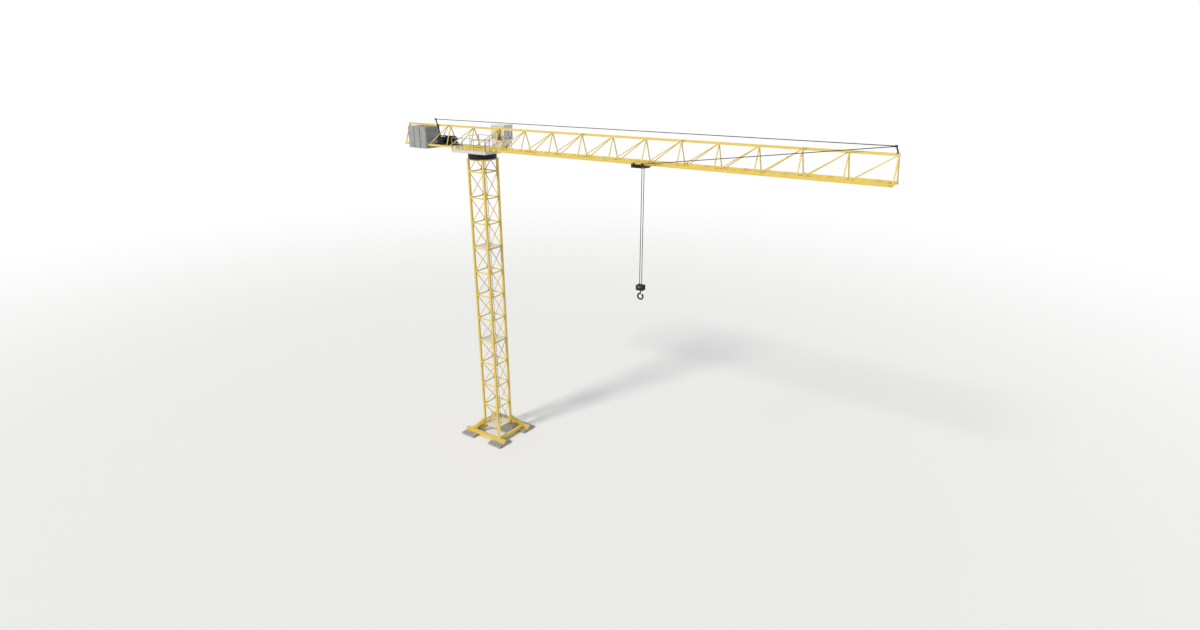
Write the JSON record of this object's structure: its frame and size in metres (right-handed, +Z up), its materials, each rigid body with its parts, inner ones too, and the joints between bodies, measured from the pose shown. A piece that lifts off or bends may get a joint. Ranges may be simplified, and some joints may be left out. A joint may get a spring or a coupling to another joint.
{
  "type": "tower crane, half-size model",
  "caption": "Flat-top tower crane on four footings: lattice mast, slewing jib and counter-jib with ballast, cab, travelling trolley and hoisted hook block.",
  "frame": {"origin": "on the mast's vertical axis, level with the undersides of the four footings", "axes": "+X along the jib towards its tip, +Z up, +Y towards the side with the cab"},
  "size_m": [24.428, 2.9, 17.0793],
  "materials": {
    "yellow_paint": "semi-gloss paint",
    "pale_paint": "satin paint",
    "rail_paint": "satin paint",
    "black_paint": "satin paint",
    "dark_steel": "greased steel",
    "concrete": "smooth cast concrete",
    "glass": "clear"
  },
  "bodies": {
    "mast": {"footings": "concrete", "base_frame": "yellow_paint", "base_struts": "yellow_paint", "mast_lower": "yellow_paint", "mast_middle": "yellow_paint", "mast_upper": "yellow_paint", "deck_lower": "pale_paint", "deck_middle": "pale_paint", "deck_upper": "pale_paint", "mast_cap": "yellow_paint", "ring_lower": "black_paint"},
    "upperworks": {"ring_upper": "black_paint", "turret": "yellow_paint", "platform": "pale_paint", "platform_rails": "rail_paint", "cab_base": "pale_paint", "cab_shell": "pale_paint", "cab_roof": "pale_paint", "cab_panes": "glass", "head_truss": "yellow_paint", "counter_jib": "yellow_paint", "ballast_front_slab": "concrete", "ballast_middle_slab": "concrete", "ballast_rear_slab": "concrete", "winch_frame": "black_paint", "winch_motor": "black_paint", "rear_post": "black_paint", "tip_post": "black_paint", "jib_root": "yellow_paint", "jib_inner": "yellow_paint", "jib_outer": "yellow_paint", "jib_tip": "yellow_paint", "top_rope": "dark_steel", "trolley_rope": "dark_steel"},
    "drum": {"winch_drum": "dark_steel"},
    "trolley": {"trolley_frame": "black_paint", "trolley_wheels": "dark_steel", "trolley_sheaves": "dark_steel", "hoist_falls": "dark_steel"},
    "block": {"hook_block": "black_paint", "block_sheave": "dark_steel"},
    "hook": {"hook": "black_paint"}
  },
  "joints": [
    {"name": "slew", "type": "hinge", "parent": "mast", "child": "upperworks", "pos_m": [0, 0, 15.407], "axis": [0, 0, 1], "continuous": true},
    {"name": "trolley_travel", "type": "slide", "parent": "upperworks", "child": "trolley", "axis": [1, 0, 0], "range_m": [-7.6, 9.2], "deforming": ["trolley_rope"]},
    {"name": "hoist", "type": "slide", "parent": "trolley", "child": "block", "axis": [0, 0, 1], "range_m": [-9.2, 4.9], "deforming": ["hoist_falls"]},
    {"name": "hook_swivel", "type": "hinge", "parent": "block", "child": "hook", "pos_m": [9.262, 0, 10.17], "axis": [0, 0, 1], "continuous": true},
    {"name": "drum_spin", "type": "hinge", "parent": "upperworks", "child": "drum", "pos_m": [-2.6606, 0, 16.0193], "axis": [0, 1, 0], "continuous": true}
  ],
  "couplings": [
    {"joint": "drum_spin", "follows": "hoist", "rad_per_m": 13.333}
  ]
}
